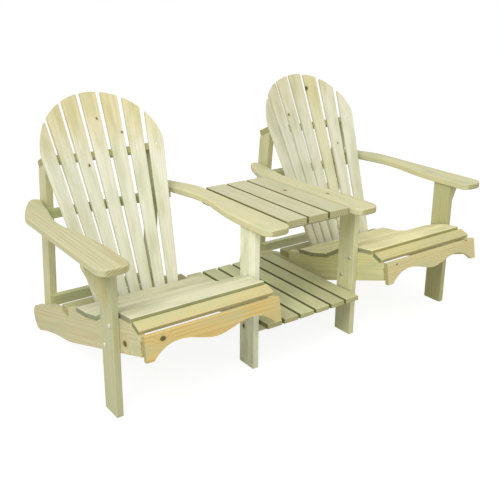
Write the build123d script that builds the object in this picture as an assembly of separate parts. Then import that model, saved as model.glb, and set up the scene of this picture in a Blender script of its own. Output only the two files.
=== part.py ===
"""Double lounge chair: two slatted garden seats joined by a small table and a shelf.

Millimetres. The front faces -Y, +X is the viewer's right and Z points up.
The right-hand chair is drawn and the left-hand one is its mirror image.
In chair coordinates u runs from the chair's middle plane outwards, away from the table.
"""
import os
from math import cos, hypot, radians, sin, tan

from build123d import *

# Layout
TABLE_SPACE = 480.0
ARM_UNDERSIDE_Z = 569.0
ARM_BOARD = 28.0
BLANK_TRIM = 20.0

# Front legs and stringers
STRINGER_THICK = 28.0
STRINGER_OUTER_U = 276.0
STRINGER_INNER_U = STRINGER_OUTER_U - STRINGER_THICK
LEG_THICK = 26.0
LEG_OUTER_U = STRINGER_OUTER_U + LEG_THICK
LEG_FRONT_Y = -337.0
LEG_DEPTH = 92.0
LEG_REAR_Y = LEG_FRONT_Y + LEG_DEPTH
LEG_ROUND = 3.0
CHAIR_X = TABLE_SPACE / 2 + LEG_OUTER_U
FOOT_RADIUS = 55.0
FOOT_Y = 459.0
FOOT_ARC = (radians(244.2), radians(74.1))
STRINGER_BELLY = [(86.0, 98.0), (170.0, 77.0), (246.0, 62.0), (338.0, 39.0)]
STRINGER_TAIL = (330.0, 163.0)
STRINGER_NOSE_LIFT = 18.0

# Seat: the line under the slats from the front to the back, with one slope in degrees per slat
SEAT_FRONT = (-408.0, 380.0)
SEAT_SLOPES = (8.0, 20.0, 32.0, 15.0, 7.0)
SLAT_THICK = 17.0
SLAT_GAP = 4.0
SLAT_ROUND = 4.0
SLAT_SETBACK = 6.0
SEAT_HALF_LENGTH = STRINGER_OUTER_U - SLAT_SETBACK
SEAT_CLEARANCE = 4.0
NOSE_WIDTH = 47.0
NOSE_TILT = 22.0
NOSE_GAP = 8.0
REAR_STEP_Y = (113.0, 190.0)
REAR_STEP_Z = 193.0

# Apron, with its lower edge given as height above the tabs
APRON_THICK = 18.0
APRON_TOP = (-498.0, 370.0)
APRON_BOTTOM = (-514.0, 283.0)
APRON_ROUND = 3.0
APRON_TAB = 26.0
APRON_TAB_U = SEAT_HALF_LENGTH - APRON_TAB
APRON_ARCH_RUN = 146.0
APRON_ARCH_RISE = 40.0
APRON_LOBE = 18.0

# Back, in its own plane: u sideways, v up the slope from the fan's apex, w towards the sitter
BACK_SLOPE = radians(25.6)
BACK_FOOT = (115.0, 263.6)
FOOT_V = 1352.0
TOP_UP = 803.0
TOP_V = FOOT_V + TOP_UP
SLAT_DROP = 3.0
SLAT_LOW_V = FOOT_V - (BACK_FOOT[1] - REAR_STEP_Z + SLAT_DROP) / cos(BACK_SLOPE)
BACK_SLAT_COUNT = 7
BACK_SLAT_THICK = 16.0
BACK_SLAT_ROUND = 3.0
SLAT_FOOT_WIDTH = 43.5
SLAT_FOOT_GAP = 12.2
BACK_HOLLOW = 38.0
FAN_WIDTH = SLAT_FOOT_WIDTH / FOOT_V
FAN_PITCH = (SLAT_FOOT_WIDTH + SLAT_FOOT_GAP) / FOOT_V
HOLLOW = BACK_HOLLOW / FOOT_V / (FAN_PITCH * BACK_SLAT_COUNT / 2) ** 2
OUTER_FAN = FAN_PITCH * (BACK_SLAT_COUNT - 1) / 2 + FAN_WIDTH / 2
ARCH_RADIUS = OUTER_FAN * TOP_V / (1 + OUTER_FAN)

# Rails and posts behind the back
RAIL_THICK = 28.0
UPPER_RAIL_UP = 532.0
UPPER_RAIL_V = FOOT_V + UPPER_RAIL_UP
UPPER_RAIL_DEPTH = 41.0
UPPER_RAIL_HALF = STRINGER_INNER_U
ARM_RAIL_DEPTH = 45.0
ARM_RAIL_REACH = 8.0
BRACE_LOW_Z = 146.0
BRACE_TALL = 44.0
LOWER_RAIL_CLEARANCE = 2.0
LOWER_RAIL_SIDE_CLEARANCE = 8.0
LOWER_RAIL_REACH = 95.0
POST_OUTER_U = STRINGER_INNER_U
POST_THICK = 28.0
POST_DEPTH = 72.0
POST_LEAN = 0.10
POST_CLEARANCE = 1.5
POST_LOW_Z = 50.0

# Arms; outline points are given from the stringer's outer face and along Y
ARM_OVERHANG = 76.5
ARM_OUTER_U = LEG_OUTER_U + ARM_OVERHANG
ARM_INSET = 14.0
ARM_FRONT_REACH = 100.0
ARM_FRONT_ROUND = 44.0
ARM_STRAIGHT_Y = 180.0
ARM_TIP = [(77.0, 278.0), (30.0, 380.0), (1.0, 408.0), (-24.0, 380.0)]
ARM_SEAT_SIDE = [(-2.0, 255.0), (27.0, 85.0), (1.0, -112.0), (-11.0, -225.0), (-13.0, -330.0)]
ARM_ROUND = 8.0
ARM_LOWER_ROUND = 5.0

# Bracket under the outer arm
BRACKET_SETBACK = 3.5
BRACKET_TALL = 175.0
BRACKET_THICK = 26.0
BRACKET_NOSE = 14.0
BRACKET_FOOT = 3.0
BRACKET_WAIST = (38.0, 92.0)

# Table between the chairs, whose boards fill the space between the arms with equal gaps
TABLE_BOARD_COUNT = 3
TABLE_BOARD_GAP = 10.5
ARM_SPACE = TABLE_SPACE - 2 * ARM_OVERHANG
TABLE_BOARD_WIDTH = (ARM_SPACE - (TABLE_BOARD_COUNT + 1) * TABLE_BOARD_GAP) / TABLE_BOARD_COUNT
TABLE_Y = (-384.0, 168.0)
BATTEN_THICK = 28.0
BATTEN_WIDTH = 45.0
BATTEN_REACH = 30.0
TABLE_BATTEN_INSET = (92.0, 34.0)
BOARD_ROUND = 4.0

# Shelf under the table, whose boards fill the space between the legs with half a gap at each side
SHELF_COUNT = 6
SHELF_BOARD_GAP = 12.0
SHELF_BOARD_WIDTH = TABLE_SPACE / SHELF_COUNT - SHELF_BOARD_GAP
SHELF_BOARD_THICK = 20.0
SHELF_Y = (-386.0, 201.0)
SHELF_UNDERSIDE_Z = 182.0
SHELF_BATTEN_TALL = 28.0
SHELF_BATTEN_DEPTH = 38.0
SHELF_FRONT_BATTEN_INSET = 2.0
SHELF_REAR_BATTEN_INSET = 83.0

# Bolts through each front leg and its stringer: behind the leg's front, above the stringer's belly
BOLT_PLACES = [(21.0, 108.5), (65.0, 35.0)]
BOLT_RADIUS = 4.0
BOLT_HEAD_RADIUS = 9.0
BOLT_HEAD_TALL = 4.5
BOLT_HEAD_RIM = 1.0
BOLT_NUT_RADIUS = 7.5
BOLT_NUT_TALL = 6.5

# Countersunk screws through the back slats into the upper rail
SCREW_RADIUS = 2.0
SCREW_LENGTH = 40.0
SCREW_HEAD_RADIUS = 4.0
SCREW_HEAD_TALL = 2.5

INNER_LEG_FACE_X = CHAIR_X - LEG_OUTER_U
INNER_STRINGER_FACE_X = CHAIR_X - STRINGER_OUTER_U


def block(x_span, y_span, z_span):
    """Box between the given low and high values."""
    spans = (x_span, y_span, z_span)
    size = [high - low for low, high in spans]
    middle = [(high + low) / 2 for low, high in spans]
    return Pos(*middle) * Box(*size)


def across(outline, u_low, u_high):
    """Board whose side outline, a face drawn in (y, z), runs across the chair from u_low to u_high."""
    face = Plane.YZ.offset(CHAIR_X + u_low) * outline
    return extrude(face, amount=u_high - u_low, dir=(1, 0, 0))


def polygon(points):
    """Face inside a closed run of straight lines."""
    return make_face(Polyline(*points, close=True))


def along(start, end, distance, height=0.0):
    """Point at a distance from start towards end, raised square to that line."""
    length = hypot(end[0] - start[0], end[1] - start[1])
    step = ((end[0] - start[0]) / length, (end[1] - start[1]) / length)
    y = start[0] + distance * step[0] - height * step[1]
    z = start[1] + distance * step[1] + height * step[0]
    return (y, z)


def slide(start, slope, distance):
    """Point at a distance from start on a line that falls towards the rear by a slope in degrees."""
    return (start[0] + distance * cos(radians(slope)), start[1] - distance * sin(radians(slope)))


def height_on(start, end, y):
    """Height of the straight line through start and end at y."""
    return start[1] + (end[1] - start[1]) * (y - start[0]) / (end[0] - start[0])


def crossing(start, end, first, second):
    """Point where the line through start and end meets the line through first and second."""
    run = (end[0] - start[0], end[1] - start[1])
    other = (second[0] - first[0], second[1] - first[1])
    offset = (first[0] - start[0], first[1] - start[1])
    share = (offset[0] * other[1] - offset[1] * other[0]) / (run[0] * other[1] - run[1] * other[0])
    return (start[0] + share * run[0], start[1] + share * run[1])


def slat_board(start, slope, width):
    """Seat slat across the chair, its underside from start along a slope, with eased top edges."""
    outline = Pos(width / 2, SLAT_THICK / 2) * Rectangle(width, SLAT_THICK)
    outline = fillet(outline.vertices().group_by(Axis.Y)[-1], SLAT_ROUND)
    placed = Pos(*start) * Rot(0.0, 0.0, -slope) * outline
    return across(placed, -SEAT_HALF_LENGTH, SEAT_HALF_LENGTH)


# Apron plane, used by the apron and by the stringers' front ends
APRON_FACE = hypot(APRON_TOP[0] - APRON_BOTTOM[0], APRON_TOP[1] - APRON_BOTTOM[1])
APRON_REAR_BOTTOM = along(APRON_BOTTOM, APRON_TOP, 0.0, -APRON_THICK)
APRON_REAR_TOP = along(APRON_BOTTOM, APRON_TOP, APRON_FACE, -APRON_THICK)
BELLY_FRONT = along(APRON_REAR_BOTTOM, APRON_REAR_TOP, STRINGER_NOSE_LIFT)
NOSE_FRONT = slide(SEAT_FRONT, -NOSE_TILT, -(NOSE_GAP + NOSE_WIDTH))


def back_point(u, v, w):
    """World position of a point given in the back's own plane."""
    y = BACK_FOOT[0] + (v - FOOT_V) * sin(BACK_SLOPE) - w * cos(BACK_SLOPE)
    z = BACK_FOOT[1] + (v - FOOT_V) * cos(BACK_SLOPE) + w * sin(BACK_SLOPE)
    return Vector(CHAIR_X + u, y, z)


BACK_PLANE = Plane(
    origin=back_point(0.0, 0.0, 0.0), x_dir=(1, 0, 0), z_dir=(0, -cos(BACK_SLOPE), sin(BACK_SLOPE))
)


def slat_fan(number):
    """Fan ratio u/v of the middle line of a back slat, numbered from 1."""
    return (number - (BACK_SLAT_COUNT + 1) / 2) * FAN_PITCH


def rear_surface(fan, middle):
    """Depth per unit of v, at the fan ratio u/v, of the rear plane of the slat with that middle line."""
    return 2 * HOLLOW * middle * fan - HOLLOW * (middle**2 - (FAN_PITCH / 2) ** 2)


def slat_rear(fan, middle, v):
    """Point on the rear plane of a slat, in the back's own plane."""
    return Vector(fan * v, v, rear_surface(fan, middle) * v)


def slat_depth(middle):
    """Step through a slat's thickness, from its rear to its front."""
    tilt = Vector(-2 * HOLLOW * middle, HOLLOW * (middle**2 - (FAN_PITCH / 2) ** 2), 1.0)
    return tilt.normalized() * BACK_SLAT_THICK


def outer_front(v):
    """Foremost edge of the outermost back slat."""
    middle = slat_fan(BACK_SLAT_COUNT)
    return back_point(*(slat_rear(OUTER_FAN, middle, v) + slat_depth(middle)))


def lean(slope, following):
    """How far a slat's top corner leans over a hollow joint between two slopes."""
    return SLAT_THICK * tan(radians(max(slope - following, 0.0) / 2))


def slat_rooms():
    """Room before and after each flat slat on the seat line."""
    joints = [SLAT_GAP / 2 + lean(*pair) for pair in zip(SEAT_SLOPES, SEAT_SLOPES[1:])]
    return list(zip([0.0] + joints, joints + [0.0]))


def slat_width():
    """Width with which equal flat slats fill the seat line as far as the outer back slats."""
    low, high = outer_front(SLAT_LOW_V), outer_front(FOOT_V)
    recline = (high.Y - low.Y) / (high.Z - low.Z)
    y, z = SEAT_FRONT
    for slope, room in zip(SEAT_SLOPES, slat_rooms()):
        y, z = slide((y, z), slope, sum(room))
    run = sum(cos(radians(slope)) for slope in SEAT_SLOPES)
    fall = sum(sin(radians(slope)) for slope in SEAT_SLOPES)
    limit = low.Y + recline * (z - low.Z) - SEAT_CLEARANCE
    return (limit - y) / (run + recline * fall)


def seat_line():
    """Front lower edges of the flat slats, and the corners of the line under them."""
    width = slat_width()
    corners = [SEAT_FRONT]
    starts = []
    for slope, (before, after) in zip(SEAT_SLOPES, slat_rooms()):
        starts.append(slide(corners[-1], slope, before))
        corners.append(slide(corners[-1], slope, before + width + after))
    return starts, corners


def flat_slats():
    """The wide seat slats, each on its own slope."""
    starts, _ = seat_line()
    return [slat_board(start, slope, slat_width()) for start, slope in zip(starts, SEAT_SLOPES)]


def nose_slat():
    """Narrow slat in front of the seat, tipped forwards."""
    return slat_board(NOSE_FRONT, -NOSE_TILT, NOSE_WIDTH)


def foot_point(angle):
    """Point on the round rear foot of a stringer."""
    return (FOOT_Y + FOOT_RADIUS * cos(angle), FOOT_RADIUS + FOOT_RADIUS * sin(angle))


def stringer_outline():
    """Side outline of a stringer: seat line on top, straight belly, round foot at the rear."""
    _, corners = seat_line()
    foot_low, foot_high = [foot_point(angle) for angle in FOOT_ARC]
    step_front, step_rear = REAR_STEP_Y
    belly = Line(BELLY_FRONT, STRINGER_BELLY[0])
    low_turn, high_turn = [(-sin(angle), cos(angle)) for angle in FOOT_ARC]
    curve = Spline(*STRINGER_BELLY, foot_low, tangents=[belly % 1, low_turn])
    foot = ThreePointArc(foot_low, foot_point(0.0), foot_high)
    tail = Spline(foot_high, STRINGER_TAIL, (step_rear, REAR_STEP_Z), tangents=[high_turn, (-1.0, 0.1)])
    top = Polyline(
        (step_rear, REAR_STEP_Z),
        (step_front, REAR_STEP_Z),
        (step_front, height_on(corners[-2], corners[-1], step_front)),
        *reversed(corners[:-1]),
        crossing(SEAT_FRONT, NOSE_FRONT, APRON_REAR_BOTTOM, APRON_REAR_TOP),
        BELLY_FRONT,
    )
    return make_face(belly + curve + foot + tail + top)


def stringer(outer):
    """One stringer of the right-hand chair."""
    low = STRINGER_INNER_U if outer else -STRINGER_OUTER_U
    return across(stringer_outline(), low, low + STRINGER_THICK)


def leg(outer):
    """Front leg on the outer face of a stringer."""
    low = STRINGER_OUTER_U if outer else -LEG_OUTER_U
    span = (CHAIR_X + low, CHAIR_X + low + LEG_THICK)
    board = block(span, (LEG_FRONT_Y, LEG_REAR_Y), (0.0, ARM_UNDERSIDE_Z))
    return fillet(board.edges().filter_by(Axis.Z), LEG_ROUND)


def apron():
    """Front apron: straight on top, with two arches and a middle lobe below."""
    plane = Plane(
        origin=(CHAIR_X, APRON_BOTTOM[0], APRON_BOTTOM[1]),
        x_dir=(1, 0, 0),
        z_dir=(0, -(APRON_TOP[1] - APRON_BOTTOM[1]), APRON_TOP[0] - APRON_BOTTOM[0]),
    )
    half, tab = SEAT_HALF_LENGTH, APRON_TAB_U
    crown = tab - APRON_ARCH_RUN
    lower = Spline(
        (-tab, 0.0), (-crown, APRON_ARCH_RISE), (0.0, APRON_LOBE), (crown, APRON_ARCH_RISE), (tab, 0.0)
    )
    ends = [(half, 0.0), (half, APRON_FACE), (-half, APRON_FACE), (-half, 0.0)]
    rest = Polyline((tab, 0.0), *ends, (-tab, 0.0))
    board = extrude(plane * make_face(lower + rest), amount=-APRON_THICK)
    return fillet(board.edges().filter_by(Axis.X).sort_by(Axis.Z)[-1], APRON_ROUND)


def solid_between(lower, upper):
    """Solid with flat sides between two outlines that have the same number of corners."""
    count = len(lower)
    faces = [Face(Wire.make_polygon(lower)), Face(Wire.make_polygon(upper))]
    for corner in range(count):
        following = (corner + 1) % count
        side = [lower[corner], lower[following], upper[following], upper[corner]]
        faces.append(Face(Wire.make_polygon(side)))
    return Solid(Shell(faces))


def arch_space():
    """Everything under the arched top line of the back."""
    centre_v = TOP_V - ARCH_RADIUS
    low_v = SLAT_LOW_V - BLANK_TRIM
    left, right = (-ARCH_RADIUS, centre_v), (ARCH_RADIUS, centre_v)
    arc = ThreePointArc(left, (0.0, TOP_V), right)
    rest = Polyline(right, (ARCH_RADIUS, low_v), (-ARCH_RADIUS, low_v), left)
    outline = BACK_PLANE * make_face(arc + rest)
    return extrude(outline, amount=ARCH_RADIUS, both=True)


def back_slat(number):
    """One tapering back slat with eased long edges, cut to the arched top line."""
    middle = slat_fan(number)
    depth = slat_depth(middle)
    ends = []
    for v in (SLAT_LOW_V, TOP_V + BLANK_TRIM):
        rear = [slat_rear(middle + side * FAN_WIDTH / 2, middle, v) for side in (-1, 1)]
        front = [corner + depth for corner in reversed(rear)]
        ends.append([back_point(*corner) for corner in rear + front])
    blank = solid_between(*ends)
    blank = fillet(blank.edges().sort_by(SortBy.LENGTH)[-4:], BACK_SLAT_ROUND)
    return blank & arch_space()


def front_space():
    """Everything in front of the slats' rear faces, so that rails can be fitted to them."""
    reach = 0.5
    half_count = BACK_SLAT_COUNT / 2
    edge_depth = rear_surface(reach, slat_fan(BACK_SLAT_COUNT))
    corners = [(-reach, edge_depth)]
    for gap in range(BACK_SLAT_COUNT + 1):
        fan = (gap - half_count) * FAN_PITCH
        corners.append((fan, HOLLOW * fan**2))
    corners += [(reach, edge_depth), (reach, reach), (-reach, reach)]
    outlines = []
    for v in (SLAT_LOW_V / 2, TOP_V):
        outlines.append([back_point(fan * v, v, depth * v) for fan, depth in corners])
    return solid_between(*outlines)


def upper_rail():
    """Rail square to the back, on the post tops and against the slats."""
    high = UPPER_RAIL_V + RAIL_THICK
    reach = rear_surface(UPPER_RAIL_HALF / UPPER_RAIL_V, slat_fan(BACK_SLAT_COUNT)) * high + BLANK_TRIM
    middle = Pos(0.0, UPPER_RAIL_V + RAIL_THICK / 2, (reach - UPPER_RAIL_DEPTH) / 2)
    board = BACK_PLANE.location * middle * Box(2 * UPPER_RAIL_HALF, RAIL_THICK, reach + UPPER_RAIL_DEPTH)
    return board - front_space()


def post_top():
    """Front top corner of the rear posts, just behind the outer slats."""
    inner_face = (POST_OUTER_U - POST_THICK) / UPPER_RAIL_V
    depth = rear_surface(inner_face, slat_fan(BACK_SLAT_COUNT)) * UPPER_RAIL_V
    return back_point(0.0, UPPER_RAIL_V, depth - POST_CLEARANCE)


def post_front(z):
    """Front of the leaning rear posts at a height."""
    top = post_top()
    return top.Y + POST_LEAN * (top.Z - z)


def post(outer):
    """Rear post on a stringer's inner face, cut on top to the slope of the upper rail."""
    top = post_top()
    fall = tan(BACK_SLOPE)
    run = POST_DEPTH / (1 - POST_LEAN * fall)
    corners = [
        (post_front(POST_LOW_Z), POST_LOW_Z),
        (post_front(POST_LOW_Z) + POST_DEPTH, POST_LOW_Z),
        (top.Y + run, top.Z - fall * run),
        (top.Y, top.Z),
    ]
    low = POST_OUTER_U - POST_THICK if outer else -POST_OUTER_U
    return across(polygon(corners), low, low + POST_THICK)


def arm_rail():
    """Flat rail across the fronts of the posts, under the arms' rear ends and clear of the slats."""
    low_z, high_z = ARM_UNDERSIDE_Z - RAIL_THICK, ARM_UNDERSIDE_Z
    front = post_front(high_z) - ARM_RAIL_DEPTH
    corners = [(front, low_z), (post_front(low_z), low_z), (post_front(high_z), high_z), (front, high_z)]
    half = STRINGER_OUTER_U + ARM_RAIL_REACH
    return across(polygon(corners), -half, half) - front_space()


def brace_rail():
    """Rail across the fronts of the posts, low down."""
    low_z, high_z = BRACE_LOW_Z, BRACE_LOW_Z + BRACE_TALL
    corners = [
        (post_front(low_z) - RAIL_THICK, low_z),
        (post_front(low_z), low_z),
        (post_front(high_z), high_z),
        (post_front(high_z) - RAIL_THICK, high_z),
    ]
    return across(polygon(corners), -POST_OUTER_U, POST_OUTER_U)


def lower_rail():
    """Rail on the step of the stringers, hollowed in front to carry the feet of the slats."""
    front, rear = REAR_STEP_Y[0] + LOWER_RAIL_CLEARANCE, REAR_STEP_Y[1] - LOWER_RAIL_CLEARANCE
    half = STRINGER_INNER_U - LOWER_RAIL_SIDE_CLEARANCE
    span_z = (REAR_STEP_Z, REAR_STEP_Z + RAIL_THICK)
    board = block((CHAIR_X - SEAT_HALF_LENGTH, CHAIR_X + SEAT_HALF_LENGTH), (front, rear), span_z)
    board += block((CHAIR_X - half, CHAIR_X + half), (front - LOWER_RAIL_REACH, front), span_z)
    return board - front_space()


def arm(outer):
    """Shaped arm board: straight towards the outside or the table, waisted on the seat side."""
    tip_points = [(STRINGER_OUTER_U + u, y) for u, y in ARM_TIP]
    side_points = [(STRINGER_OUTER_U + u, y) for u, y in ARM_SEAT_SIDE]
    front_y = LEG_FRONT_Y - ARM_FRONT_REACH
    straight = Polyline(
        side_points[-1],
        (STRINGER_OUTER_U - ARM_INSET, front_y),
        (ARM_OUTER_U, front_y),
        (ARM_OUTER_U, ARM_STRAIGHT_Y),
    )
    tip = Spline((ARM_OUTER_U, ARM_STRAIGHT_Y), *tip_points, tangents=[(0.0, 1.0), (0.15, -1.0)])
    seat_side = Spline(tip_points[-1], *side_points, tangents=[(0.15, -1.0), (0.0, -1.0)])
    outline = make_face(straight + tip + seat_side)
    outline = fillet(outline.vertices().sort_by(Axis.Y)[:2], ARM_FRONT_ROUND)
    board = extrude(Pos(0.0, 0.0, ARM_UNDERSIDE_Z) * outline, amount=ARM_BOARD, dir=(0, 0, 1))
    board = fillet(board.faces().sort_by(Axis.Z)[-1].edges(), ARM_ROUND)
    board = fillet(board.faces().sort_by(Axis.Z)[0].edges(), ARM_LOWER_ROUND)
    if not outer:
        board = mirror(board, about=Plane.YZ)
    return Pos(CHAIR_X, 0.0, 0.0) * board


def bracket():
    """Curved bracket between the outer leg and the outer arm."""
    low_u, high_u = LEG_OUTER_U, ARM_OUTER_U - BRACKET_SETBACK
    high_z = ARM_UNDERSIDE_Z
    low_z, nose_z = high_z - BRACKET_TALL, high_z - BRACKET_NOSE
    foot_u = low_u + BRACKET_FOOT
    waist = (low_u + BRACKET_WAIST[0], high_z - BRACKET_WAIST[1])
    curve = ThreePointArc((high_u, nose_z), waist, (foot_u, low_z))
    rest = Polyline((foot_u, low_z), (low_u, low_z), (low_u, high_z), (high_u, high_z), (high_u, nose_z))
    middle_y = (LEG_FRONT_Y + LEG_REAR_Y) / 2
    face = Plane.XZ.offset(-(middle_y + BRACKET_THICK / 2)) * make_face(curve + rest)
    return Pos(CHAIR_X, 0.0, 0.0) * extrude(face, amount=BRACKET_THICK, dir=(0, -1, 0))


def leg_bolt(outer, place):
    """Dome-headed bolt through a leg and its stringer, with a nut on the stringer's inner face."""
    y = LEG_FRONT_Y + place[0]
    z = height_on(BELLY_FRONT, STRINGER_BELLY[0], y) + place[1]
    length = LEG_OUTER_U - STRINGER_INNER_U
    shaft = Pos(0.0, 0.0, STRINGER_INNER_U + length / 2) * Cylinder(BOLT_RADIUS, length)
    head = Pos(0.0, 0.0, LEG_OUTER_U + BOLT_HEAD_TALL / 2) * Cylinder(BOLT_HEAD_RADIUS, BOLT_HEAD_TALL)
    head = fillet(head.edges().sort_by(Axis.Z)[-1], BOLT_HEAD_TALL - BOLT_HEAD_RIM)
    nut_face = Plane.XY.offset(STRINGER_INNER_U - BOLT_NUT_TALL) * RegularPolygon(BOLT_NUT_RADIUS, 6)
    nut = extrude(nut_face, amount=BOLT_NUT_TALL, dir=(0, 0, 1))
    bolt = Rot(0.0, 90.0, 0.0) * (shaft + head + nut)
    if not outer:
        bolt = mirror(bolt, about=Plane.YZ)
    return Pos(CHAIR_X, y, z) * bolt


def back_screw(number):
    """Countersunk screw through a back slat into the middle of the upper rail."""
    middle = slat_fan(number)
    rear = slat_rear(middle, middle, UPPER_RAIL_V + RAIL_THICK / 2)
    front_point = back_point(*(rear + slat_depth(middle)))
    axis = Plane(origin=front_point, z_dir=front_point - back_point(*rear))
    head = Pos(0.0, 0.0, -SCREW_HEAD_TALL / 2) * Cone(SCREW_RADIUS, SCREW_HEAD_RADIUS, SCREW_HEAD_TALL)
    shank = Pos(0.0, 0.0, -SCREW_LENGTH / 2) * Cylinder(SCREW_RADIUS, SCREW_LENGTH)
    return axis.location * (head + shank)


def chair():
    """All pieces of the right-hand chair by name, its bolts and its screws."""
    bolts = {outer: [leg_bolt(outer, place) for place in BOLT_PLACES] for outer in (True, False)}
    screws = [back_screw(number) for number in range(1, BACK_SLAT_COUNT + 1)]
    pieces = {}
    for number, screw in enumerate(screws, start=1):
        pieces[f"back_slat_{number}"] = back_slat(number) - screw
    for outer, side in ((True, "outer"), (False, "inner")):
        pieces[f"stringer_{side}"] = stringer(outer) - bolts[outer]
        pieces[f"leg_{side}"] = leg(outer) - bolts[outer]
        pieces[f"post_{side}"] = post(outer)
        pieces[f"arm_{side}"] = arm(outer)
    pieces["upper_rail"] = upper_rail() - screws
    pieces["arm_rail"] = arm_rail()
    pieces["brace_rail"] = brace_rail()
    pieces["lower_rail"] = lower_rail()
    pieces["apron"] = apron()
    pieces["nose_slat"] = nose_slat()
    pieces["seat_slats"] = flat_slats()
    pieces["bracket"] = bracket()
    return pieces, bolts[True] + bolts[False], screws


def table_boards():
    """Table boards along Y, level with the arms."""
    pitch = TABLE_BOARD_WIDTH + TABLE_BOARD_GAP
    boards = {}
    for number in range(1, TABLE_BOARD_COUNT + 1):
        place = (number - (TABLE_BOARD_COUNT + 1) / 2) * pitch
        span = (place - TABLE_BOARD_WIDTH / 2, place + TABLE_BOARD_WIDTH / 2)
        board = block(span, TABLE_Y, (ARM_UNDERSIDE_Z, ARM_UNDERSIDE_Z + ARM_BOARD))
        boards[f"table_board_{number}"] = fillet(board.faces().sort_by(Axis.Z)[-1].edges(), BOARD_ROUND)
    return boards


def table_battens():
    """Battens under the table boards and the arms, the front one on edge and the rear one flat."""
    half = ARM_SPACE / 2 + BATTEN_REACH
    front_y = TABLE_Y[0] + TABLE_BATTEN_INSET[0]
    rear_y = TABLE_Y[1] - TABLE_BATTEN_INSET[1]
    on_edge = (ARM_UNDERSIDE_Z - BATTEN_WIDTH, ARM_UNDERSIDE_Z)
    flat = (ARM_UNDERSIDE_Z - BATTEN_THICK, ARM_UNDERSIDE_Z)
    return {
        "table_batten_front": block((-half, half), (front_y, front_y + BATTEN_THICK), on_edge),
        "table_batten_rear": block((-half, half), (rear_y - BATTEN_WIDTH, rear_y), flat),
    }


def shelf():
    """Shelf boards along Y on two battens."""
    pitch = SHELF_BOARD_WIDTH + SHELF_BOARD_GAP
    board_z = (SHELF_UNDERSIDE_Z, SHELF_UNDERSIDE_Z + SHELF_BOARD_THICK)
    batten_z = (SHELF_UNDERSIDE_Z - SHELF_BATTEN_TALL, SHELF_UNDERSIDE_Z)
    boards = []
    for number in range(SHELF_COUNT):
        middle = (number - (SHELF_COUNT - 1) / 2) * pitch
        board = block((middle - SHELF_BOARD_WIDTH / 2, middle + SHELF_BOARD_WIDTH / 2), SHELF_Y, board_z)
        boards.append(fillet(board.faces().sort_by(Axis.Z)[-1].edges(), SLAT_ROUND))
    front_y = LEG_FRONT_Y + SHELF_FRONT_BATTEN_INSET
    rear_y = SHELF_Y[1] - SHELF_REAR_BATTEN_INSET
    front = block((-INNER_LEG_FACE_X, INNER_LEG_FACE_X), (front_y, front_y + SHELF_BATTEN_DEPTH), batten_z)
    rear_span = (-INNER_STRINGER_FACE_X, INNER_STRINGER_FACE_X)
    rear = block(rear_span, (rear_y, rear_y + SHELF_BATTEN_DEPTH), batten_z)
    return {"shelf_boards": boards, "shelf_batten_front": front, "shelf_batten_rear": rear}


def save(name, piece):
    """Write one node; a list is a group of separate solids."""
    solids = piece if isinstance(piece, list) else [piece]
    solids = [solid for part in solids for solid in part.solids()]
    shape = solids[0] if len(solids) == 1 else Compound(solids)
    export_step(shape, f"parts/{name}.step")


def mirrored(piece):
    """The same piece on the other chair."""
    if isinstance(piece, list):
        return [mirrored(part) for part in piece]
    return mirror(piece, about=Plane.YZ)


os.makedirs("parts", exist_ok=True)
right_pieces, right_bolts, right_screws = chair()
for piece_name, piece in right_pieces.items():
    save(f"right_{piece_name}", piece)
    save(f"left_{piece_name}", mirrored(piece))
save("leg_bolts", right_bolts + mirrored(right_bolts))
save("back_screws", right_screws + mirrored(right_screws))
for group in (table_boards(), table_battens(), shelf()):
    for piece_name, piece in group.items():
        save(piece_name, piece)
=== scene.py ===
# %% [markdown]
# # Double lounge chair
# Two slatted garden chairs of pressure-treated pine stand side by side. A small table
# at arm height and a slatted shelf under it join them.
#
# Every board is already a solid with its right size and place, so the work here is to make
# the solids look like timber. Softwood is never one flat colour: each board has its own
# growth rings, fibres, knots and end grain, and it takes the green treatment salts in its
# own way. So this lesson makes one pine finish and lays it along the grain of every board.

# %% Load the frame
import math

import bpy
from mathutils import Matrix, Vector


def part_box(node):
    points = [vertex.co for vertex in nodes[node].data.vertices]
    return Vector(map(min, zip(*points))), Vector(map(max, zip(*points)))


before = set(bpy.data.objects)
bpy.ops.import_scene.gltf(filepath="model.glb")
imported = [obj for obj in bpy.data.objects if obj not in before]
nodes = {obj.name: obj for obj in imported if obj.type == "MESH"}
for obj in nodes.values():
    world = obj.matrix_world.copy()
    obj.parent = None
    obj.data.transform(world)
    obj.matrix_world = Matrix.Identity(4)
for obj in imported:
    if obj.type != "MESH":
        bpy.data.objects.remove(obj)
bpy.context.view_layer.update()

# %% [markdown]
# ## The camera
# The picture is taken from the front left, a little above the arms, with a lens that is a bit
# longer than normal. The camera is placed by the point it looks at, two angles and a distance.
# A small roll levels it, and the shift moves the pair of chairs within the frame without turning
# the camera.

# %% Camera
LOOK_AT = Vector((-0.0032, 0.0112, 0.4808))
DISTANCE = 3.1165
AZIMUTH, ELEVATION, ROLL = (math.radians(angle) for angle in (-36.4714, 18.243, 0.7209))
SENSOR_WIDTH, FOCAL_LENGTH = 36.0, 52.85
SHIFT_X, SHIFT_Y = -0.0121, -0.0671

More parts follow.
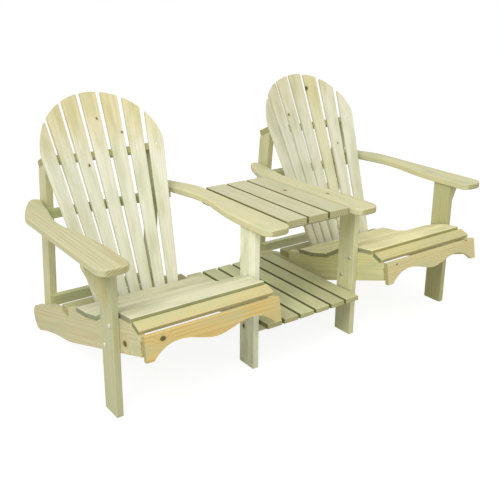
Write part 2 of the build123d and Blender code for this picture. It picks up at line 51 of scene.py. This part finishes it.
back = Vector((
    math.sin(AZIMUTH) * math.cos(ELEVATION),
    -math.cos(AZIMUTH) * math.cos(ELEVATION),
    math.sin(ELEVATION),
))
right = Vector((math.cos(AZIMUTH), math.sin(AZIMUTH), 0.0))
up = back.cross(right)
camera_x = right * math.cos(ROLL) + up * math.sin(ROLL)
camera_y = up * math.cos(ROLL) - right * math.sin(ROLL)
bpy.ops.object.select_all(action="DESELECT")
bpy.ops.object.camera_add()
camera = bpy.context.object
camera.name = "camera"
camera_turn = Matrix((camera_x, camera_y, back)).transposed().to_4x4()
camera.matrix_world = Matrix.Translation(LOOK_AT + back * DISTANCE) @ camera_turn
camera.data.sensor_width = SENSOR_WIDTH
camera.data.lens = FOCAL_LENGTH
camera.data.shift_x = SHIFT_X
camera.data.shift_y = SHIFT_Y
bpy.context.scene.camera = camera
bpy.context.scene.view_settings.view_transform = "Standard"
print("camera at", [round(v, 3) for v in camera.matrix_world.translation])

# %% [markdown]
# ## Nodes and colours
# Three helpers serve every material. Colours are picked as sRGB hex values, as they look on a
# screen, but shaders work in linear light, so one function converts them. Another adds a shader
# node, sets its options and fills its inputs with either a value or a link. The third makes the
# empty material that the nodes go into.

# %% Helpers for materials
def linear(code):
    """Linear RGBA of an sRGB hex colour."""
    parts = [int(code[place:place + 2], 16) / 255 for place in (1, 3, 5)]
    light = [part / 12.92 if part <= 0.04045 else ((part + 0.055) / 1.055) ** 2.4 for part in parts]
    return (*light, 1.0)


def add(tree, kind, inputs, **settings):
    """Add one shader node with its options, its values and its links."""
    node = tree.nodes.new("ShaderNode" + kind)
    for option, value in settings.items():
        setattr(node, option, value)
    for socket, value in inputs.items():
        if isinstance(value, bpy.types.NodeSocket):
            tree.links.new(value, node.inputs[socket])
        else:
            node.inputs[socket].default_value = value
    return node


def new_material(name):
    """An empty node material with its output node."""
    material = bpy.data.materials.new(name)
    material.use_nodes = True
    material.node_tree.nodes.clear()
    return material, material.node_tree, material.node_tree.nodes.new("ShaderNodeOutputMaterial")


print("cream in linear light:", [round(v, 3) for v in linear("#E6E2C8")])

# %% [markdown]
# ## Which way the grain runs
# A board is sawn along the tree, so its grain follows its length. A pattern that is drawn on
# Object coordinates has to be turned to each board: local X along the grain, local Y across the
# width and local Z through the thickness. Level boards need a quarter turn at most. The back
# slats fan out from one point below the ground, so each takes its direction from that point, and
# the stringers slope down to the rear.

# %% Grain directions
SEAT_MIDDLE_X = 0.542
FAN_POINT = Vector((0.0, -0.4692, -0.9557))
FACE_OF_BACK = Vector((0.0, -0.902, 0.432))
STRINGER_SLOPE = Vector((0.0, 0.959, -0.283))
LEVEL = {
    "x": (Vector((1, 0, 0)), Vector((0, 1, 0))),
    "x on edge": (Vector((1, 0, 0)), Vector((0, 0, 1))),
    "y": (Vector((0, 1, 0)), Vector((-1, 0, 0))),
    "z": (Vector((0, 0, 1)), Vector((0, 1, 0))),
}


def middle_of(node):
    """Centre of a node's box."""
    low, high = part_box(node)
    return (low + high) / 2


def grain_of(node, run):
    """Turn whose columns are the grain, the width and the thickness of a board."""
    if run == "fan":
        side = -1 if node.startswith("left") else 1
        along = (middle_of(node) - FAN_POINT - Vector((side * SEAT_MIDDLE_X, 0, 0))).normalized()
        across = along.cross(FACE_OF_BACK).normalized() * -1
    elif run == "slope":
        along = STRINGER_SLOPE.normalized()
        across = Vector((1, 0, 0)).cross(STRINGER_SLOPE).normalized()
    else:
        along, across = LEVEL[run]
    return Matrix((along, across, along.cross(across))).transposed()


print("grain of the middle slat:", [round(v, 2) for v in grain_of("right_back_slat_4", "fan").col[0]])

# %% [markdown]
# ## The pine finish
# This is planed softwood, pressure-treated and not painted. Its colour is a pale cream from the
# sapwood, with darker late-wood lines between the growth rings. The copper salts of the treatment
# soak in unevenly and leave green patches, where the rings show less. The rings are cylinders
# round the heart of the tree, so a ring pattern that is stretched along the grain gives straight
# lines on a quarter-sawn face and arches on a flat-sawn one. Real rings are 2 to 5 mm wide. They
# are drawn about twice as wide, because a pixel of the picture covers about 4 mm.
#
# A knot is the root of a branch. The rings flow round it, so the same distance from the knot both
# bends the ring pattern and draws the brown core. Where a face cuts across the grain, the board
# shows its darker end grain. The long side faces of some rows of boards are darkened too, as
# painted shade for the shadow that falls in the gaps between the boards.

# %% Pine: sizes of the pattern in metres
RING_SPACING = 0.0085
FIBRE_WIDTH, FIBRE_LENGTH = 0.004, 0.2
PATCH_WIDTH, PATCH_LENGTH = 0.05, 0.2
KNOT_BEND = 0.022
BUMP_HEIGHT = 0.0008
# Spacing of the ring texture's lines at a scale of 1
WAVE_PERIOD = 0.314
# From one board of a row to the next, the pattern jumps by this much
ROW_JUMP = (0.71, 0.0, 0.031)
# Each board has the heart of the tree in another place, to its side and below its face
HEART_SIDE, HEART_DEPTH, HEART_SPREAD = 0.045, 0.05, 0.02
print("rings every", RING_SPACING * 1000, "mm")

# %% Pine: strengths of the pattern
# This scale along the grain makes the rings about 17 times as long as wide
RING_STRETCH = 0.06
LATE_SHARPNESS = 3.0
# Steps of the rings and the patches along the grain from board to board, in the pattern's own scale
RING_STEP, PATCH_STEP = 0.37, 1.9
# Angles in radians that move the heart to the side and in depth from board to board
SIDE_TURN, DEPTH_TURN = 2.3, 1.7
# Values of the noise where a fibre, a patch and its salts begin and where they are full
FIBRE_START, FIBRE_FULL = 0.35, 0.75
PATCH_START, PATCH_FULL = 0.35, 0.65
SALT_START, SALT_FULL = 0.45, 0.68
FIBRE_SHARE, SALT_SHARE = 0.3, 0.6
LATE_OUTSIDE, LATE_IN_PATCH = 0.5, 0.08
SALT_GREEN = "#BCC296"
WARM_SHARE, WARM_RAGGED = 0.75, 0.3
ROW_DARKEST, ROW_LIGHTEST = 0.88, 1.04
# How squarely a face must look along the width or the grain, and the share of its tone:
# painted shade on the long side faces in the gaps, and end grain on the sawn ends
EDGE_SHADE_FACE = (0.75, 0.92, 0.9)
SAWN_FACE = (0.8, 0.92, 0.7)
ROUGH_EARLY, ROUGH_FIBRE = 0.78, 0.58
BUMP_STRENGTH, BUMP_OF_FIBRE = 0.35, 0.8
# A knot's width is this part of its length along the grain, and the rings bend out to this many radii
KNOT_WIDTH, KNOT_REACH = 0.75, 4.5
# Tone of a knot, radii where it is full and where it ends, and its share: halo, rim and core
KNOT_TONES = [("#C6AC6C", 0.9, 2.4, 0.55), ("#4A4524", 0.8, 1.1, 0.9), ("#6A5E34", 0.35, 0.8, 0.8)]
print("tones in a knot:", len(KNOT_TONES))


# %% Pine: where a point lies on its board
def board_position(tree, turn, middle, joints):
    """Position on the board, and a number for each board where a node holds several side by side."""
    place = add(tree, "TexCoord", {}).outputs["Object"]
    local = add(tree, "Mapping", {"Vector": place, "Location": middle, "Rotation": turn.to_euler()},
                vector_type="TEXTURE").outputs[0]
    if joints is None:
        return local, local, None
    axis, places = joints
    coordinate = add(tree, "SeparateXYZ", {0: place}).outputs[axis]
    count = add(tree, "Value", {}).outputs[0]
    for joint in places:
        past = add(tree, "Math", {0: coordinate, 1: joint}, operation="GREATER_THAN").outputs[0]
        count = add(tree, "Math", {0: count, 1: past}, operation="ADD").outputs[0]
    jump = add(tree, "CombineXYZ", {0: count, 1: count, 2: count}).outputs[0]
    jump = add(tree, "VectorMath", {0: jump, 1: ROW_JUMP}, operation="MULTIPLY").outputs[0]
    moved = add(tree, "VectorMath", {0: local, 1: jump}, operation="ADD").outputs[0]
    return local, moved, count


def nearest_knot(tree, local, knots):
    """Distance to the nearest knot, in knot radii. A knot is a little longer along the grain."""
    nearest = None
    for along, across, radius in knots:
        centre = (along, across, 0.0)
        shift = add(tree, "VectorMath", {0: local, 1: centre}, operation="SUBTRACT").outputs[0]
        scale = (KNOT_WIDTH / radius, 1 / radius, 0.0)
        shift = add(tree, "VectorMath", {0: shift, 1: scale}, operation="MULTIPLY").outputs[0]
        away = add(tree, "VectorMath", {0: shift}, operation="LENGTH").outputs["Value"]
        if nearest is not None:
            away = add(tree, "Math", {0: nearest, 1: away}, operation="MINIMUM").outputs[0]
        nearest = away
    return nearest


def facing(tree, direction, start, full, most):
    """Share on faces that look along a direction: none below start, the most from full onwards."""
    face = add(tree, "NewGeometry", {}).outputs["Normal"]
    turned = add(tree, "VectorMath", {0: face, 1: direction}, operation="DOT_PRODUCT").outputs["Value"]
    turned = add(tree, "Math", {0: turned}, operation="ABSOLUTE").outputs[0]
    span = {"From Min": start, "From Max": full, "To Min": 0.0, "To Max": most}
    return add(tree, "MapRange", {"Value": turned, **span}).outputs["Result"]


print("helpers for places on a board are ready")


# %% Pine: growth rings and knots
def late_wood(tree, moved, seed, away):
    """Darkness of the late wood in the growth rings, which bend round a knot."""
    side = HEART_SIDE * math.sin(SIDE_TURN * seed)
    depth = HEART_DEPTH + HEART_SPREAD * math.cos(DEPTH_TURN * seed)
    rings_at = add(tree, "Mapping", {"Vector": moved, "Location": (RING_STEP * seed, side, depth),
                                     "Scale": (RING_STRETCH, 1.0, 1.0)}).outputs[0]
    if away:
        span = {"From Min": 0.0, "From Max": KNOT_REACH, "To Min": KNOT_BEND, "To Max": 0.0}
        swell = add(tree, "MapRange", {"Value": away, **span},
                    interpolation_type="SMOOTHERSTEP").outputs["Result"]
        swell = add(tree, "CombineXYZ", {"Z": swell}).outputs[0]
        rings_at = add(tree, "VectorMath", {0: rings_at, 1: swell}, operation="ADD").outputs[0]
    rings = add(tree, "TexWave", {"Vector": rings_at, "Scale": WAVE_PERIOD / RING_SPACING,
                                  "Distortion": 5.0, "Detail": 2.0, "Detail Scale": 0.6,
                                  "Detail Roughness": 0.55},
                wave_type="RINGS", rings_direction="X").outputs["Fac"]
    return add(tree, "Math", {0: rings, 1: LATE_SHARPNESS}, operation="POWER").outputs[0]


def with_knots(tree, colour, away):
    """The board's colour with the halo, the rim and the core of its knots."""
    for tone, full, end, share in KNOT_TONES:
        span = {"From Min": full, "From Max": end, "To Min": share, "To Max": 0.0}
        amount = add(tree, "MapRange", {"Value": away, **span},
                     interpolation_type="SMOOTHSTEP").outputs["Result"]
        colour = add(tree, "Mix", {"Factor": amount, "A": colour, "B": linear(tone)},
                     data_type="RGBA").outputs["Result"]
    return colour


print("rings and knots are ready")


# %% Pine: the material of one board
def pine(name, turn, middle, pale, deep, seed, ends, knots=(), joints=None, warm=None, edge_shade=None):
    """Planed, pressure-treated pine for one board or one row of boards."""
    material, tree, output = new_material(name)
    local, moved, count = board_position(tree, turn, middle, joints)
    away = nearest_knot(tree, local, knots) if knots else None
    late = late_wood(tree, moved, seed, away)

    fibre_scale = (1 / FIBRE_LENGTH, 1 / FIBRE_WIDTH, 1 / FIBRE_WIDTH)
    fibre_at = add(tree, "Mapping", {"Vector": moved, "Location": (seed, 0.0, 0.0),
                                     "Scale": fibre_scale}).outputs[0]
    fibre = add(tree, "TexNoise", {"Vector": fibre_at, "Scale": 1.0, "Detail": 3.0}).outputs["Fac"]
    patch_scale = (1 / PATCH_LENGTH, 1 / PATCH_WIDTH, 1 / PATCH_WIDTH)
    patch_at = add(tree, "Mapping", {"Vector": moved, "Location": (seed * PATCH_STEP, seed, 0.0),
                                     "Scale": patch_scale}).outputs[0]
    patch = add(tree, "TexNoise", {"Vector": patch_at, "Scale": 1.0, "Detail": 4.0,
                                   "Roughness": 0.6}).outputs["Fac"]

    # Late wood and fibres darken the pale tone, and salts tint it
    streak = add(tree, "MapRange", {"Value": fibre, "From Min": FIBRE_START, "From Max": FIBRE_FULL,
                                    "To Min": 0.0, "To Max": FIBRE_SHARE}).outputs["Result"]
    uneven = add(tree, "MapRange", {"Value": patch, "From Min": PATCH_START, "From Max": PATCH_FULL,
                                    "To Min": LATE_OUTSIDE, "To Max": LATE_IN_PATCH}).outputs["Result"]
    grain = add(tree, "Math", {0: late, 1: uneven, 2: streak}, operation="MULTIPLY_ADD").outputs[0]
    colour = add(tree, "Mix", {"Factor": grain, "A": linear(pale), "B": linear(deep)},
                 data_type="RGBA").outputs["Result"]
    salts = add(tree, "MapRange", {"Value": patch, "From Min": SALT_START, "From Max": SALT_FULL,
                                   "To Min": 0.0, "To Max": SALT_SHARE}).outputs["Result"]
    colour = add(tree, "Mix", {"Factor": salts, "A": colour, "B": linear(SALT_GREEN)},
                 data_type="RGBA").outputs["Result"]

    # The tops of the back slats turn tan, with a ragged lower border
    if warm:
        low, high, tone = warm
        place = add(tree, "TexCoord", {}).outputs["Object"]
        height = add(tree, "SeparateXYZ", {0: place}).outputs["Z"]
        ragged = add(tree, "Math", {0: patch, 1: WARM_RAGGED, 2: height},
                     operation="MULTIPLY_ADD").outputs[0]
        span = {"From Min": low, "From Max": high, "To Min": 0.0, "To Max": WARM_SHARE}
        tan = add(tree, "MapRange", {"Value": ragged, **span},
                  interpolation_type="SMOOTHSTEP").outputs["Result"]
        colour = add(tree, "Mix", {"Factor": tan, "A": colour, "B": linear(tone)},
                     data_type="RGBA", blend_type="MULTIPLY").outputs["Result"]

    # Each board of a row is a little lighter or darker
    if count:
        own = add(tree, "TexWhiteNoise", {"W": count}, noise_dimensions="1D").outputs["Value"]
        own = add(tree, "MapRange", {"Value": own, "To Min": ROW_DARKEST,
                                     "To Max": ROW_LIGHTEST}).outputs["Result"]
        colour = add(tree, "VectorMath", {0: colour, "Scale": own}, operation="SCALE").outputs[0]
    if away:
        colour = with_knots(tree, colour, away)

    # Painted shade on the long side faces in the gaps of a row, and end grain on the sawn ends
    if edge_shade:
        edge_shade_share = facing(tree, turn.col[1], *EDGE_SHADE_FACE)
        colour = add(tree, "Mix", {"Factor": edge_shade_share, "A": colour, "B": linear(edge_shade)},
                     data_type="RGBA", blend_type="MULTIPLY").outputs["Result"]
    sawn = facing(tree, turn.col[0], *SAWN_FACE)
    end = add(tree, "Mix", {"Factor": late, "A": linear(ends[0]), "B": linear(ends[1])},
              data_type="RGBA").outputs["Result"]
    colour = add(tree, "Mix", {"Factor": sawn, "A": colour, "B": end}, data_type="RGBA").outputs["Result"]

    # Planed wood is dull, with a slight sheen and relief along the fibres
    rough = add(tree, "MapRange", {"Value": fibre, "To Min": ROUGH_EARLY,
                                   "To Max": ROUGH_FIBRE}).outputs["Result"]
    relief = add(tree, "Math", {0: fibre, 1: BUMP_OF_FIBRE, 2: grain}, operation="MULTIPLY_ADD").outputs[0]
    bump = add(tree, "Bump", {"Height": relief, "Strength": BUMP_STRENGTH,
                              "Distance": BUMP_HEIGHT}).outputs[0]
    surface = add(tree, "BsdfPrincipled", {"Base Color": colour, "Roughness": rough, "Normal": bump,
                                           "IOR": 1.5, "Specular IOR Level": 0.3})
    tree.links.new(surface.outputs[0], output.inputs["Surface"])
    return material


print("the pine finish is ready")

# %% [markdown]
# ## One finish, many boards
# The boards were cut from different planks, so each row below gives a kind of board its grain and
# its two tones, the pale early wood and the deep late wood. Some boards get tones of their own,
# such as the left apron, which is a warm heartwood yellow, and a yellower slat in the right back.
# The rails behind the back slats are toned darker as painted shade, and the right chair's brace
# rail under the table is toned nearly white as painted light.
# The sawn ends of the seat and nose slats are the darkest. The long side faces between the boards
# of the table, the shelf and the seat are darkened as painted shade for the gaps. High up, the
# back slats turn tan.

# %% Tones of the boards
BOARDS = {
    "back_slat": ("fan", "#E8E7D2", "#D4CFA8"),
    "stringer": ("slope", "#DED8B0", "#C6B47A"),
    "leg": ("z", "#D8D6B0", "#BFBA8A"),
    "post": ("z", "#DAD5AA", "#BDB580"),
    # Painted shade: the arm rails are toned darker for the shade they lie in between the back slats
    "arm_rail": ("x", "#B9B886", "#96945E"),
    # Painted light: the right chair's brace rail lies in the table's shade and is toned nearly white so
    # that it looks lit
    "brace_rail": ("x on edge", "#EEEEC6", "#D4D2A0"),
    "arm": ("y", "#DFDAB0", "#C8BD86"),
    # Painted shade: the upper rails are toned darker for the shade they lie in between the back slats
    "rail": ("x", "#BDB884", "#98925C"),
    "apron": ("x on edge", "#DCD09A", "#C2AA66"),
    "nose_slat": ("x", "#DCD29E", "#C4B070"),
    "seat_slats": ("x", "#EDEACB", "#D6CFA0"),
    "bracket": ("z", "#D8D2A4", "#BDB07A"),
    "table_board": ("y", "#D6D2B0", "#BFB686"),
    "table_batten": ("x", "#A3A878", "#868A58"),
    "shelf_boards": ("y", "#DCDCB0", "#C0BC86"),
    "shelf_batten": ("x", "#C6C69C", "#A9A878"),
}
OWN_TONES = {
    "left_apron": ("#DCC480", "#C29C54"),
    "left_nose_slat": ("#D8CE98", "#C0AE6E"),
    "right_seat_slats": ("#FFF8C6", "#E8D88E"),
    "right_nose_slat": ("#D8CE94", "#BDAE6C"),
    "left_arm_outer": ("#CFCAA2", "#B5A876"),
    "left_leg_outer": ("#C8C69E", "#ABA676"),
    "left_leg_inner": ("#F8F8DE", "#E4E4BC"),
    "right_leg_outer": ("#C4C190", "#A9A46C"),
    # Painted shade: the left arm rail is toned darker for the shade between the back slats
    "left_arm_rail": ("#B6BC88", "#909A62"),
    "left_brace_rail": ("#CCCE9C", "#AEB07C"),
    "right_leg_inner": ("#E4E2B6", "#CCC68E"),
    "right_stringer_inner": ("#E4E0AC", "#CCC078"),
    "left_stringer_outer": ("#D6CEA4", "#BAA66E"),
    "right_back_slat_5": ("#E6E2BE", "#D2CA98"),
}
END_GRAIN = ("#B8B078", "#7C7644")
DARK_ENDS = ("#66704C", "#4A5236")
END_TONES = {"seat_slats": DARK_ENDS, "nose_slat": DARK_ENDS}
# Painted shade for the gaps: colours that darken the long side faces of these rows
EDGE_SHADE_TONES = {"table_board": "#8E9068", "shelf_boards": "#7E8460", "seat_slats": "#B2B58E"}
# Heights in metres between which the back slats of a chair turn tan, and the tint
WARM_TOPS = {"left": (0.86, 1.08, "#F6E8C0"), "right": (0.90, 1.12, "#F8F0DA")}
# Where a node is a row of boards: the axis across the row, and the places of its joints in metres
JOINTS = {
    "seat_slats": (1, (-0.3159, -0.2266, -0.1439, -0.0486)),
    "shelf_boards": (0, (-0.16, -0.08, 0.0, 0.08, 0.16)),
}


def kind_of(node):
    """The row of BOARDS that a node belongs to."""
    return next(kind for kind in BOARDS if kind in node)


print("kinds of board:", len(BOARDS))

# %% [markdown]
# ## Knots
# Knots are given as points on the faces of boards, with a radius, because that is where they are
# seen. Each point is turned into the board's own coordinates. The clearest are on the left chair's
# apron and stringer, and high on the right back.

# %% Knots
KNOTS = {
    "left_back_slat_4": [((-0.5297, 0.3973, 0.8925), 0.004)],
    "left_back_slat_3": [((-0.4384, 0.3605, 0.8321), 0.004)],
    "left_back_slat_5": [((-0.6092, 0.3133, 0.7247), 0.0045)],
    "right_back_slat_3": [((0.4391, 0.3544, 0.8194), 0.005)],
    "right_back_slat_5": [((0.5931, 0.414, 0.9267), 0.008)],
    "right_back_slat_6": [((0.6881, 0.2706, 0.6662), 0.003)],
    "left_apron": [((-0.7463, -0.5021, 0.3477), 0.0085)],
    "right_apron": [((0.3257, -0.5005, 0.3562), 0.0035), ((0.7585, -0.4908, 0.3687), 0.003)],
    "table_board_3": [((0.0958, -0.056, 0.597), 0.0075)],
    "right_arm_inner": [((0.214, -0.1927, 0.597), 0.006)],
    "left_leg_inner": [((-0.266, -0.2721, 0.1594), 0.007)],
    "left_stringer_outer": [((-0.818, -0.3729, 0.2942), 0.011)],
}


def knots_on(node, turn, middle):
    """Knots of a board in its own coordinates."""
    found = []
    for point, radius in KNOTS.get(node, []):
        spot = turn.transposed() @ (Vector(point) - middle)
        found.append((spot.x, spot.y, radius))
    return found


print("boards with knots:", len(KNOTS))

# %% Lay the pine on the boards
FASTENERS = ("leg_bolts", "back_screws")
boards = [node for node in sorted(nodes) if node not in FASTENERS]
for seed, node in enumerate(boards, start=1):
    kind = kind_of(node)
    run, pale, deep = BOARDS[kind]
    pale, deep = OWN_TONES.get(node, (pale, deep))
    turn = grain_of(node, run)
    middle = middle_of(node)
    finish = pine(
        "pine_" + node, turn, middle, pale, deep, seed, END_TONES.get(kind, END_GRAIN),
        knots=knots_on(node, turn, middle), joints=JOINTS.get(kind),
        warm=WARM_TOPS[node.split("_")[0]] if kind == "back_slat" else None,
        edge_shade=EDGE_SHADE_TONES.get(kind),
    )
    nodes[node].material_slots[0].material = finish
print("boards finished:", len(boards))

# %% [markdown]
# ## Zinc-plated steel
# The bolts and screws are plain steel with a dull zinc coat. A fine mottling in tone and roughness
# stands for the crystals of the zinc, which are a few millimetres wide.

# %% Steel
ZINC_CRYSTAL = 0.003
ZINC_LIGHT, ZINC_DARK = "#E2DFCC", "#C2BFAC"
ZINC_SMOOTH, ZINC_ROUGH = 0.38, 0.62
material, tree, output = new_material("zinc_plated_steel")
place = add(tree, "TexCoord", {}).outputs["Object"]
mottle = add(tree, "TexNoise", {"Vector": place, "Scale": 1 / ZINC_CRYSTAL, "Detail": 2.0}).outputs["Fac"]
tone = add(tree, "Mix", {"Factor": mottle, "A": linear(ZINC_LIGHT), "B": linear(ZINC_DARK)},
           data_type="RGBA").outputs["Result"]
dull = add(tree, "MapRange", {"Value": mottle, "To Min": ZINC_SMOOTH,
                              "To Max": ZINC_ROUGH}).outputs["Result"]
surface = add(tree, "BsdfPrincipled", {"Base Color": tone, "Roughness": dull, "Metallic": 1.0})
tree.links.new(surface.outputs[0], output.inputs["Surface"])
for node in FASTENERS:
    nodes[node].material_slots[0].material = material
print("steel on", len(FASTENERS), "groups of fasteners")

# %% [markdown]
# ## Floor and light
# The chairs stand on a plain white studio floor, which takes their soft shadow. The camera and
# reflections see a white paint with some glow, so that the floor is white like the backdrop. The
# boards get less light from it: a greyer paint without the glow keeps their undersides and edges
# dark enough. The light is a broad lamp from the upper left, with a weak one in front, and a
# bright even room fills the shadows.

# %% Floor
FLOOR_SIZE, FLOOR_Z = 60.0, -0.0005
FLOOR_SEEN, FLOOR_BOUNCE = "#F4F4F2", "#D2D2CE"
GLOW, GLOW_SHARE = 1.2, 0.72
WHITE = (1.0, 1.0, 1.0, 1.0)
SEEN_RAYS = ["Is Camera Ray", "Is Glossy Ray"]


def seen_by(tree, rays):
    """1 for rays of the given kinds and 0 for the rest."""
    path = add(tree, "LightPath", {})
    seen = path.outputs[rays[0]]
    for ray in rays[1:]:
        seen = add(tree, "Math", {0: seen, 1: path.outputs[ray]}, operation="MAXIMUM").outputs[0]
    return seen


bpy.ops.object.select_all(action="DESELECT")
bpy.ops.mesh.primitive_plane_add(size=FLOOR_SIZE, location=(0.0, 0.0, FLOOR_Z))
floor = bpy.context.object
floor.name = "studio_floor"
bpy.ops.object.transform_apply(location=True)
material, tree, output = new_material("white_studio_floor")
seen = seen_by(tree, SEEN_RAYS)
cover = add(tree, "Mix", {"Factor": seen, "A": linear(FLOOR_BOUNCE), "B": linear(FLOOR_SEEN)},
            data_type="RGBA").outputs["Result"]
paint = add(tree, "BsdfDiffuse", {"Color": cover})
glow = add(tree, "Emission", {"Color": WHITE, "Strength": GLOW})
share = add(tree, "Math", {0: seen, 1: GLOW_SHARE}, operation="MULTIPLY").outputs[0]
mix = add(tree, "MixShader", {0: share, 1: paint.outputs[0], 2: glow.outputs[0]})
tree.links.new(mix.outputs[0], output.inputs["Surface"])
floor.data.materials.append(material)
print("floor of", floor.dimensions.x, "m")

# %% Room
ROOM_LIGHT, ROOM_SEEN = 0.62, 1.0
world = bpy.data.worlds.new("white_room")
bpy.context.scene.world = world
world.use_nodes = True
tree = world.node_tree
tree.nodes.clear()
seen = seen_by(tree, SEEN_RAYS + ["Is Transmission Ray"])
strength = add(tree, "MapRange", {"Value": seen, "To Min": ROOM_LIGHT,
                                  "To Max": ROOM_SEEN}).outputs["Result"]
sky = add(tree, "Background", {"Color": WHITE, "Strength": strength})
world_output = tree.nodes.new("ShaderNodeOutputWorld")
tree.links.new(sky.outputs[0], world_output.inputs["Surface"])
print("room light:", ROOM_LIGHT)

# %% Lamps: place, size in metres and power in watts
LAMPS = {
    "key_lamp": ((-3.4, -2.2, 4.4), 3.0, 170.0),
    "front_lamp": ((1.6, -3.4, 2.0), 2.0, 12.0),
}
LAMP_AIM = Vector((0.0, 0.0, 0.45))
for name, (place, size, power) in LAMPS.items():
    bpy.ops.object.light_add(type="AREA", location=place)
    lamp = bpy.context.object
    lamp.name = name
    lamp.data.size = size
    lamp.data.energy = power
    lamp.rotation_euler = (LAMP_AIM - Vector(place)).to_track_quat("-Z", "Y").to_euler()
print("lamps:", list(LAMPS))
